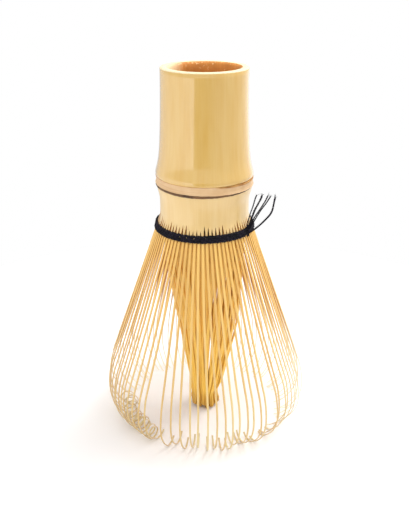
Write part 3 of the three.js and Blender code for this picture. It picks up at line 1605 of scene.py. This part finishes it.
class ThreadSweep(SweepTree):
    """Sweeps thread: round plies that turn about each other along the path."""

    def __init__(self) -> None:
        """Builds the tree."""
        super().__init__(
            "thread_sweep",
            [
                ("Plies", "NodeSocketInt", 2),
                ("Diameter", "NodeSocketFloat", 0.6 * MM),
                ("Ply Share", "NodeSocketFloat", 0.56),
                ("Lay", "NodeSocketFloat", 1.2 * MM),
                ("Section Sides", "NodeSocketInt", 6),
            ],
        )
        g, given = self.graph, self.given
        curve = g.add("GeometryNodeMeshToCurve", {"Mesh": given["Paths"]}).outputs[0]
        length = g.add("GeometryNodeSplineParameter").outputs["Length"]
        turned = g.product(g.math("DIVIDE", length, given["Lay"]), TAU)
        twisted = g.add("GeometryNodeSetCurveTilt", {"Curve": curve, "Tilt": turned}).outputs[0]
        ply_radius = g.product(given["Diameter"], given["Ply Share"], 0.5)
        offset = g.math("SUBTRACT", g.product(given["Diameter"], 0.5), ply_radius)
        ply = g.add(
            "GeometryNodeCurvePrimitiveCircle", {"Resolution": given["Section Sides"], "Radius": ply_radius}
        ).outputs[0]
        index = g.add("GeometryNodeInputIndex").outputs[0]
        angle = g.math("DIVIDE", g.product(index, TAU), given["Plies"])
        x, y = (g.product(g.math(wave, angle), offset) for wave in ("COSINE", "SINE"))
        around = g.add("ShaderNodeCombineXYZ", {0: x, 1: y}).outputs[0]
        places = g.add("GeometryNodePoints", {"Count": given["Plies"], "Position": around}).outputs[0]
        plies = g.add("GeometryNodeInstanceOnPoints", {"Points": places, "Instance": ply}).outputs[0]
        section = g.add("GeometryNodeRealizeInstances", {"Geometry": plies}).outputs[0]
        self.sweep(twisted, section, self.attribute("width"))


# --------------------------------------------------------------------------------------------------
# Tines
# --------------------------------------------------------------------------------------------------


class Curl(Enum):
    """How an outer tine ends: (radius in millimetres, turn in degrees) of each arc below the bell's side."""

    OPEN = ((12.0, 52.0), (3.1, 103.0))
    SHORT = ((12.0, 52.0), (4.0, 28.0))
    TIGHT = ((12.8, 52.0), (2.1, 320.0))


def lengthwise(line: Sequence[Point]) -> list[float]:
    """Share of the length at each (radius, height) point of a line, from 0 to 1."""
    return Path([Vector((radius, 0, height)) for radius, height in line]).along()


def split_range(split: int) -> slice:
    """The five tines of a split. The CAD frame counts its splits from +X, a quarter turn after the front."""
    first = ((split + SPLITS // 4) * TINES_PER_SPLIT) % TINES
    return slice(first, first + TINES_PER_SPLIT)


def arc_line(
    start: Point, heading: float, straight: float, arcs: Iterable[Point], step: float
) -> list[Point]:
    """Draws a straight line that goes over into arcs that all turn the same way.

    Args:
        start: (radius, height) of the first point.
        heading: angle from straight down, outwards positive.
        straight: length of the straight part.
        arcs: (radius, turn in radians inwards) of each arc.
        step: longest distance between two points on an arc.

    Returns:
        The line's (radius, height) points.
    """
    parts = 12
    sharpest = math.radians(14)
    radius, height = start
    line = []
    for i in range(parts + 1):
        reach = straight * i / parts
        line.append((radius + reach * math.sin(heading), height - reach * math.cos(heading)))
    radius, height = line[-1]
    for arc_radius, turn in arcs:
        count = max(3, math.ceil(arc_radius * turn / step), math.ceil(turn / sharpest))
        for _ in range(count):
            middle = heading - turn / count / 2
            chord = 2 * arc_radius * math.sin(turn / count / 2)
            radius += chord * math.sin(middle)
            height -= chord * math.cos(middle)
            heading -= turn / count
            line.append((radius, height))
    return line


@dataclass
class OuterTines:
    """The eighty outer tines, which splay under the thread into a bell and curl in at the table."""

    levels: Levels
    palette: Palette
    sweep: SlatSweep
    thread_radius: float = 14.0 * MM
    splay: float = math.radians(19.1)
    shoulder_radius: float = 28.9 * MM
    curl_height: float = 10.2 * MM
    arc_step: float = 1.4 * MM
    width: float = 0.83 * MM
    tip_width: float = 0.52 * MM
    flatness: float = 0.62
    # How far the feet of the front tines have strayed, in degrees, from the left to the right.
    front_strays: tuple[float, ...] = (
        *(-1.2, -2.2, -3.3, -4.4, -6.5, -6.6, -6.2, -6.0, -5.9, 0.2),
        *(1.7, 2.1, 3.2, 3.3, 4.3, 4.8, 4.7, 4.5, 4.0, 3.9),
        *(3.3, 3.5, 2.7, 6.1, 5.0, 5.7, 5.5, 4.7, 4.0, 3.3),
    )
    first_stray: int = -15
    # Closed coils stand between these azimuths.
    tight_from: float = math.radians(-95)
    tight_to: float = math.radians(-32)
    # Open hooks curl less and less between these.
    ease_from: float = math.radians(22)
    ease_to: float = math.radians(46)
    # The back, where tines are finer and paler and their hooks short, starts here.
    back_left: float = math.radians(96)
    back_right: float = math.radians(58)
    back_blend: float = 0.25
    short_from: float = 0.12
    # The shares of the last turn and of the width that are lost at the right and at the back.
    eased_turn: float = 0.45
    back_slimness: float = 0.45
    seed: int = 11

    def stray(self, index: int, dice: random.Random) -> float:
        """How far a tine has moved sideways at its foot.

        Args:
            index: its number, from 0 at the front towards the right.
            dice: the source of its own small error.

        Returns:
            Radians of azimuth.
        """
        error = math.radians(dice.gauss(0, 0.9))
        place = (index + TINES // 2) % TINES - TINES // 2 - self.first_stray
        if 0 <= place < len(self.front_strays):
            return math.radians(self.front_strays[place]) + 0.15 * error
        return error

    def path(self, index: int, dice: random.Random) -> Path:
        """Draws one tine.

        Args:
            index: its number, from 0 at the front towards the right.
            dice: the source of its own small errors.

        Returns:
            The tine's path.
        """
        lv = self.levels
        azimuth = signed_turn((index + 0.5) * PITCH)
        shift = self.stray(index, dice)
        edge = self.back_right if azimuth > 0 else self.back_left
        back = smooth_step(edge - self.back_blend, edge + self.back_blend, abs(azimuth))
        if self.tight_from < azimuth < self.tight_to:
            curl = Curl.TIGHT
        else:
            curl = Curl.SHORT if back > self.short_from else Curl.OPEN
        loosen = dice.uniform(0.93, 1.05)
        arcs = [(self.shoulder_radius, self.splay)]
        for radius, turn in curl.value:
            arcs.append((radius * MM * loosen, math.radians(turn * dice.uniform(0.9, 1.1))))
        if curl is Curl.OPEN:
            radius, turn = arcs[-1]
            eased = self.eased_turn * smooth_step(self.ease_from, self.ease_to, azimuth)
            arcs[-1] = (radius, turn * (1 - eased))
        start = (self.thread_radius, lv.thread)
        drop = lv.thread - self.shoulder_radius * math.sin(self.splay) - self.curl_height
        straight = drop / math.cos(self.splay)
        splay = self.splay + math.radians(dice.gauss(0, 0.22))
        line = arc_line(start, splay, straight, arcs, self.arc_step)
        lowest = min(height for _, height in line)
        rest = self.tip_width * self.flatness / 2
        if curl is not Curl.TIGHT or lowest < rest:
            # The straight part grows or shrinks until the hook's lowest point rests on the table.
            change = (lowest - rest - abs(dice.gauss(0, 0.25)) * MM) / math.cos(splay)
            line = arc_line(start, splay, straight + change, arcs, self.arc_step)
            lift = max(rest - min(height for _, height in line), 0.0)
            line = [(r, z + lift * min(1.0, (lv.thread - z) / drop)) for r, z in line]
        root = [
            (12.8 * MM, lv.root - 0.4 * MM),
            (13.1 * MM, lv.thread + 1.8 * MM),
            (13.5 * MM, lv.thread + 0.9 * MM),
        ]
        line = root + line
        wave = dice.uniform(0, 100)
        helix = math.radians(dice.uniform(1.0, 3.0) if curl is Curl.TIGHT else dice.gauss(0, 0.8))
        points: list[Vector] = []
        across: list[Vector] = []
        widths: list[float] = []
        for (radius, height), share in zip(line, lengthwise(line)):
            place = azimuth + shift * min(1.0, share / 0.7) + helix * smooth_step(0.72, 1.0, share)
            place += math.radians(0.35) * wander(wave, share * 3) * share
            points.append(direction(place) * radius + Vector((0, 0, height)))
            across.append(sideways(place))
            # Inside the collar's wall the tine is slimmer than the finger over it.
            slim = 1 - 0.35 * smooth_step(lv.thread + 0.5 * MM, lv.thread + 1.5 * MM, height)
            fine = 1 - self.back_slimness * back * smooth_step(0.5, 0.85, share)
            taper = self.width + (self.tip_width - self.width) * min(1.0, share * 1.25)
            widths.append(fine * slim * taper)
        return Path(points, across, widths, tone=dice.random() ** 1.5, pale=back)

    def build(self) -> None:
        """Builds the sixteen pieces of five tines."""
        dice = random.Random(self.seed)
        paths = [self.path(index, dice) for index in range(TINES)]
        for split in range(SPLITS):
            piece = self.sweep.run(
                f"outer_tines_split_{split + 1:02d}",
                paths[split_range(split)],
                TINE_EDGE,
                Flatness=self.flatness,
                Section_Sides=8,
                Unevenness=0.12 * MM,
                Seed=float(split),
                Material=self.palette.outer,
            )
            hand_over(piece, "bamboo_outer_tines", f"outer_tines_{split + 1:02d}")


@dataclass
class InnerTines:
    """The eighty inner tines, gathered into a core whose curled ends nearly touch the table."""

    levels: Levels
    palette: Palette
    sweep: SlatSweep
    root_radius: float = 11.6 * MM
    width: float = 1.10 * MM
    tip_width: float = 0.66 * MM
    flatness: float = 0.6
    twist: float = math.radians(11)
    waver: float = math.radians(7)
    # How far in each of the four layers stands: 1 is the outermost.
    layers: tuple[float, ...] = (1.0, 0.84, 0.95, 0.78)
    hook_radius: float = 1.25 * MM
    hook_steps: int = 9
    seed: int = 5

    def path(self, index: int, dice: random.Random) -> Path:
        """Draws one tine.

        Args:
            index: its number, from 0 at the front towards the right.
            dice: the source of its own small errors.

        Returns:
            The tine's path.
        """
        azimuth = (index + 0.5) * PITCH + math.radians(dice.gauss(0, 0.8))
        inwards = 1 - (self.layers[index % 4] - 0.05 * dice.random())
        drift = self.twist * dice.uniform(-1, 1)
        bow = dice.gauss(0, 0.25)
        side = 1 + 0.13 * math.sin(azimuth)
        end = dice.uniform(0.75, 1.1)
        foot = 4.3 - 3.6 * inwards + dice.uniform(-0.5, 0.35)
        # (radius, height) in millimetres, from the thread down to the foot.
        below = [
            (11.7, 62),
            (11.3 + bow, 53),
            ((10.2 - 0.6 * inwards) * (1 + 0.4 * (side - 1)) + bow, 42),
            ((8.9 - 3.4 * inwards) * side + bow, 30),
            ((7.1 - 4.0 * inwards) * side, 19),
            ((5.3 - 3.0 * inwards) * side, 10),
            (4.45 - 2.6 * inwards, 6.4),
            (foot, 3.8),
        ]
        stops = [(self.root_radius, self.levels.root + 0.5 * MM)]
        stops += [(radius * MM, height * MM) for radius, height in below]
        smooth_to = len(stops) - 1
        centre = (foot - 0.75) * MM, (1.6 + 0.8 * dice.random()) * MM
        for step in range(self.hook_steps):
            angle = math.radians(-10 - 26 * step)
            hook = self.hook_radius * end * (1 - 0.035 * step)
            radius = max(centre[0] + hook * math.cos(angle), 0.2 * MM)
            stops.append((radius, centre[1] + hook * math.sin(angle)))
        last = len(stops) - 1
        curve = []
        for i in range(last):
            near = [stops[min(max(i + k, 0), last)] for k in (-1, 0, 1, 2)]
            parts = 4 if i < smooth_to else 1
            for k in range(parts):
                curve.append(tuple(glide(*values, k / parts) for values in zip(*near)))
        curve.append(stops[-1])
        points: list[Vector] = []
        across: list[Vector] = []
        widths: list[float] = []
        wave = dice.uniform(0, 100)
        for (radius, height), share in zip(curve, lengthwise(curve)):
            place = azimuth + drift * smooth_step(0.15, 0.95, share)
            place += self.waver * wander(wave, share * 4.5) * share
            points.append(direction(place) * radius + Vector((0, 0, height)))
            across.append(sideways(place))
            widths.append(self.width + (self.tip_width - self.width) * share)
        return Path(points, across, widths, tone=dice.random())

    def build(self) -> None:
        """Builds the sixteen pieces of five tines."""
        dice = random.Random(self.seed)
        paths = [self.path(index, dice) for index in range(TINES)]
        for split in range(SPLITS):
            piece = self.sweep.run(
                f"inner_tines_split_{split + 1:02d}",
                paths[split_range(split)],
                TINE_EDGE,
                Flatness=self.flatness,
                Section_Sides=6,
                Unevenness=0.25 * MM,
                Seed=float(split + 50),
                Material=self.palette.inner,
            )
            hand_over(piece, "bamboo_inner_tines", f"inner_tines_{split + 1:02d}")


# --------------------------------------------------------------------------------------------------
# Thread
# --------------------------------------------------------------------------------------------------


def smooth_line(stops: Sequence[Vector], parts: int) -> list[Vector]:
    """Draws a smooth line through a few points.

    Args:
        stops: the points.
        parts: steps between two of them.

    Returns:
        The line's points.
    """
    line: list[Vector] = []
    last = len(stops) - 1
    for i in range(last):
        near = [stops[min(max(i + k, 0), last)] for k in (-1, 0, 1, 2)]
        line.extend(glide(*near, k / parts) for k in range(parts))
    line.append(stops[-1])
    return line


@dataclass
class Thread:
    """The black thread: three twined rows, one pass behind them, a knot and its loose ends."""

    levels: Levels
    palette: Palette
    sweep: ThreadSweep
    strand: float = 0.85 * MM
    row_radius: float = 14.42 * MM
    row_drop: float = 0.15 * MM
    row_pitch: float = 0.66 * MM
    row_step: float = 0.14 * MM
    pass_radius: float = 13.65 * MM
    weave_depth: float = 0.18 * MM
    weave_rise: float = 0.15 * MM
    steps_to_tine: int = 6
    knot_azimuth: float = math.radians(59)
    knot_turns: float = 2.1
    belt_turns: float = 1.15
    knot_strand: float = 0.51 * MM
    end_diameter: float = 0.60 * MM
    frayed_fibres: int = 6
    seed: int = 21

    def twined_row(
        self, name: str, node: str, radius: float, height: float, phase: float
    ) -> bpy.types.Object:
        """Builds one row of two strands that cross between the tines.

        Args:
            name: the piece's name.
            node: the CAD node that it stands for.
            radius: the row's radius.
            height: its height.
            phase: where the crossings start, in radians.

        Returns:
            The piece.
        """
        steps = TINES * self.steps_to_tine
        paths = []
        for strand in (0, 1):
            points = []
            for step in range(steps):
                azimuth = TAU * step / steps
                turn = TINES / 2 * azimuth + phase + strand * math.pi
                rough = 0.05 * MM * round_noise(azimuth, 30, 5 * strand + phase)
                out = radius + self.weave_depth * math.cos(turn) + rough
                up = height + 0.10 * MM * round_noise(azimuth, 3, 1) + self.weave_rise * math.sin(turn)
                points.append(direction(azimuth) * out + Vector((0, 0, up)))
            paths.append(Path(points, widths=[1.0] * steps, closed=True))
        piece = self.sweep.run(
            name,
            paths,
            THREAD_EDGE,
            Plies=2,
            Diameter=self.strand,
            Ply_Share=0.62,
            Lay=1.5 * MM,
            Section_Sides=6,
            Material=self.palette.thread,
        )
        return hand_over(piece, "black_thread", node)

    def rows(self) -> None:
        """Builds the three rows and the pass behind the tines."""
        middle = self.levels.thread - self.row_drop
        for which, down, phase in (("upper", -1, 0.3), ("middle", 0, 1.7), ("lower", 1, 0.9)):
            radius, height = self.row_radius + down * self.row_step, middle - down * self.row_pitch
            self.twined_row(f"twined_row_{which}", f"thread_row_{which}", radius, height, phase)
        height = self.levels.thread
        self.twined_row("pass_behind_tines", "thread_inner_pass", self.pass_radius, height, 0.0)

    def place(self, outward: float, across: float, up: float) -> Vector:
        """Turns a place near the knot into the whisk's frame.

        Args:
            outward: millimetres from the axis.
            across: millimetres sideways.
            up: millimetres above the middle row.

        Returns:
            The point in metres.
        """
        flat = direction(self.knot_azimuth) * outward + sideways(self.knot_azimuth) * across
        return (flat * MM) + Vector((0, 0, self.levels.thread + up * MM))

    def knot(self) -> bpy.types.Object:
        """Builds the knot: two turns up and down over the rows and a belt round them, drawn tight.

        Returns:
            The piece.
        """
        # Places are (outwards, sideways, upwards) from the axis and the middle row, in millimetres.
        turns_count, belt_count = 30, 24
        out_to, up_to = 0.35, 1.65
        belt_out, belt_across = 0.40, 0.55
        turns: list[Vector] = []
        for i in range(turns_count + 1):
            angle = TAU * self.knot_turns * i / turns_count
            across = -0.3 + 0.6 * i / turns_count + 0.15 * math.sin(3 * angle)
            turns.append(self.place(14.7 + out_to * math.cos(angle), across, 0.1 + up_to * math.sin(angle)))
        belt: list[Vector] = []
        for i in range(belt_count + 1):
            angle = TAU * self.belt_turns * i / belt_count
            out, across = 14.75 + belt_out * math.cos(angle), belt_across * math.sin(angle)
            belt.append(self.place(out, across, 1.3 - 0.8 * i / belt_count))
        lines = [smooth_line(stops, 3) for stops in (turns, belt)]
        piece = self.sweep.run(
            "knot_turns",
            [Path(line, widths=[1.0] * len(line)) for line in lines],
            THREAD_EDGE,
            Plies=2,
            Diameter=self.knot_strand,
            Ply_Share=0.6,
            Lay=1.3 * MM,
            Section_Sides=6,
            Material=self.palette.thread,
        )
        return hand_over(piece, "black_thread", "thread_knot")

    def ends(self) -> None:
        """Builds the five loose ends, each twisted and a little frayed."""
        # (outwards, sideways, upwards) from the axis and the middle row, in millimetres.
        routes = [
            [(15.0, -0.4, 1.0), (15.1, -0.7, 3.4), (16.4, -0.8, 7.8), (17.6, -0.5, 11.5)],
            [(15.1, -0.1, 1.0), (15.7, -0.1, 3.8), (16.9, 0.0, 6.9), (18.8, 0.1, 11.4)],
            [(15.2, 0.3, 0.8), (16.2, 0.5, 3.7), (18.5, 0.9, 7.7), (20.3, 1.1, 11.3)],
            [(15.2, 0.0, 0.6), (16.8, 0.1, 3.7), (19.2, 0.2, 7.9), (21.4, 0.4, 11.4)],
            [(15.0, 0.5, -0.6), (17.0, 0.7, 1.1), (20.0, 0.8, 4.3), (21.8, 0.9, 7.1), (22.5, 1.0, 11.2)],
        ]
        scales = [0.8, 1.25, 0.85, 0.85, 1.15]
        dice = random.Random(self.seed)
        for number, (route, scale) in enumerate(zip(routes, scales), 1):
            line = smooth_line([self.place(*stop) for stop in route], 14)
            wave = dice.uniform(0, 100)
            for i, point in enumerate(line):
                share = i / (len(line) - 1)
                reach = 0.25 * MM * share
                point += sideways(self.knot_azimuth) * reach * wander(wave, share * 5)
                point += direction(self.knot_azimuth) * reach * wander(wave + 9, share * 5)
            paths = [Path(line, widths=[1.0] * len(line))]
            piece = self.sweep.run(
                f"loose_end_{number}",
                paths + self.fray(line, dice),
                THREAD_EDGE,
                Plies=2,
                Diameter=self.end_diameter * scale,
                Ply_Share=0.55,
                Lay=1.1 * MM,
                Section_Sides=6,
                Material=self.palette.thread,
            )
            hand_over(piece, "black_thread", f"thread_end_{number}")

    def fray(self, line: Sequence[Vector], dice: random.Random) -> list[Path]:
        """Draws the few fibres that spread from the cut tip of a thread.

        Args:
            line: the thread's own line.
            dice: the source of the fibres' directions.

        Returns:
            The fibres' paths.
        """
        tip = line[-1]
        ahead = (line[-1] - line[-3]).normalized()
        fibres = []
        for _ in range(self.frayed_fibres):
            spread = Vector((dice.gauss(0, 1), dice.gauss(0, 1), dice.gauss(0, 1))) * 0.28
            reach = dice.uniform(0.5, 1.1) * MM
            start = tip - ahead * 0.3 * MM + spread * 0.1 * MM
            points = [start + (ahead + spread * (k / 4) ** 1.5) * reach * k / 4 for k in range(5)]
            fibres.append(Path(points, widths=[0.3 - 0.04 * k for k in range(5)]))
        return fibres

    def build(self) -> None:
        """Builds every piece of the thread."""
        self.rows()
        self.knot()
        self.ends()


# --------------------------------------------------------------------------------------------------
# Table, light and camera
# --------------------------------------------------------------------------------------------------


@dataclass(frozen=True)
class Softbox:
    """A soft rectangular light."""

    name: str
    place: Point3
    target: Point3
    width: float
    height: float
    power: float
    colour: Colour = (1.0, 1.0, 1.0)

    def build(self) -> bpy.types.Object:
        """Makes the light and turns it to its target.

        Returns:
            The light.
        """
        data = bpy.data.lights.new(self.name, "AREA")
        data.shape = "RECTANGLE"
        data.size, data.size_y = self.width, self.height
        data.energy = self.power
        data.color = self.colour
        light = bpy.data.objects.new(self.name, data)
        light.location = self.place
        light.rotation_euler = (Vector(self.target) - Vector(self.place)).to_track_quat("-Z", "Y").to_euler()
        bpy.context.scene.collection.objects.link(light)
        return light


@dataclass
class Studio:
    """The white table, the light and the camera."""

    palette: Palette
    camera_distance: float = 207.5 * MM
    camera_height: float = 139.2 * MM
    camera_pitch: float = math.radians(22.55)
    lens: float = 51.44
    # Radiance of the even ceiling, and of the white that shows behind the whisk.
    sky_light: float = 0.85
    sky_shown: float = 1.0
    # The ring of panels: the sines of its lowest and highest elevation, the radiance that its scale
    # ends at, and its (azimuth in degrees, radiance) stops.
    ring_low: float = -0.42
    ring_high: float = 0.0
    ring_blend: float = 0.05
    brightest: float = 3.0
    table_radius: float = 0.15
    table_segments: int = 96
    panels: tuple[Point, ...] = (
        (-180, 0.7),
        (-150, 0.7),
        (-110, 1.2),
        (-60, 1.8),
        (-25, 2.1),
        (-23.5, 0.15),
        (10, 0.25),
        (40, 0.8),
        (110, 0.9),
        (150, 1.3),
        (180, 0.7),
    )

    def table(self) -> None:
        """Makes the table, a wide disc."""
        segments = self.table_segments
        vertices = [Vector((0, 0, 0))]
        faces: list[tuple[int, ...]] = []
        for step in range(segments):
            vertices.append(direction(TAU * step / segments) * self.table_radius)
            faces.append((0, 1 + step, 1 + (step + 1) % segments))
        table = make_piece("table", vertices, faces, [self.palette.table])

    def sky(self) -> None:
        """Lights the scene from a ring of white panels under an even ceiling, and shows white behind it."""
        world = bpy.data.worlds.new("studio")
        world.use_nodes = True
        world.node_tree.nodes.clear()
        g = Graph(world.node_tree)
        white = (1.0, 1.0, 1.0, 1.0)
        way = g.add("ShaderNodeSeparateXYZ", {0: g.add("ShaderNodeTexCoord").outputs["Generated"]})
        azimuth = g.math("ARCTAN2", way.outputs[0], g.math("MULTIPLY", way.outputs[1], -1.0))
        ramp = g.add("ShaderNodeValToRGB", {0: g.span(azimuth, -math.pi, math.pi)})
        stops = ramp.color_ramp.elements
        for degrees, radiance in self.panels:
            place = degrees / 360 + 0.5
            stop = stops[0] if place == 0 else stops[-1] if place == 1 else stops.new(place)
            stop.color = (*([radiance / self.brightest] * 3), 1.0)
        ring = g.math("MULTIPLY", ramp.outputs[0], self.brightest)
        in_ring = g.math(
            "MULTIPLY",
            g.span(way.outputs[2], self.ring_low - self.ring_blend, self.ring_low),
            g.span(way.outputs[2], self.ring_high, self.ring_high + self.ring_blend, 1.0, 0.0),
        )
        elsewhere = g.math("MULTIPLY", g.math("SUBTRACT", 1.0, in_ring), self.sky_light)
        level = g.math("ADD", g.math("MULTIPLY", ring, in_ring), elsewhere)
        lighting = g.add("ShaderNodeBackground", {"Color": white, "Strength": level}).outputs[0]
        shown = g.add("ShaderNodeBackground", {"Color": white, "Strength": self.sky_shown}).outputs[0]
        seen = g.add("ShaderNodeLightPath").outputs["Is Camera Ray"]
        mixed = g.add("ShaderNodeMixShader", {0: seen, 1: lighting, 2: shown}).outputs[0]
        g.add("ShaderNodeOutputWorld", {"Surface": mixed})
        bpy.context.scene.world = world

    def lights(self) -> None:
        """Places the softboxes: a key from the right and behind, and a broad one over the front."""
        waist = (0.0, 0.0, 0.06)
        Softbox("key_right", (0.38, 0.24, 0.68), waist, 0.4, 0.4, 4.0, (1.0, 0.98, 0.96)).build()
        Softbox("top_front", (0.05, -0.25, 0.75), waist, 0.6, 0.6, 1.6).build()

    def camera(self) -> None:
        """Places the camera in front of the whisk, looking down at it."""
        data = bpy.data.cameras.new("camera")
        data.sensor_width = 36.0
        data.lens = self.lens
        data.clip_start = 0.01
        camera = bpy.data.objects.new("camera", data)
        camera.location = (0.0, -self.camera_distance, self.camera_height)
        camera.rotation_euler = (math.pi / 2 - self.camera_pitch, 0.0, 0.0)
        bpy.context.scene.collection.objects.link(camera)
        bpy.context.scene.camera = camera

    def build(self) -> None:
        """Builds the table, the sky, the lights and the camera."""
        bpy.context.scene.view_settings.view_transform = "Standard"
        self.camera()
        self.sky()
        self.lights()
        self.table()


def main() -> None:
    """Builds the whisk and its studio in order."""
    logging.basicConfig(level=logging.INFO, format="%(name)s: %(message)s")
    levels = Levels.from_frame()
    palette = Palette()
    Studio(palette).build()
    Culm(levels, palette).build()
    slats = SlatSweep()
    OuterTines(levels, palette, slats).build()
    InnerTines(levels, palette, slats).build()
    Thread(levels, palette, ThreadSweep()).build()


if __name__ == "__main__":
    main()
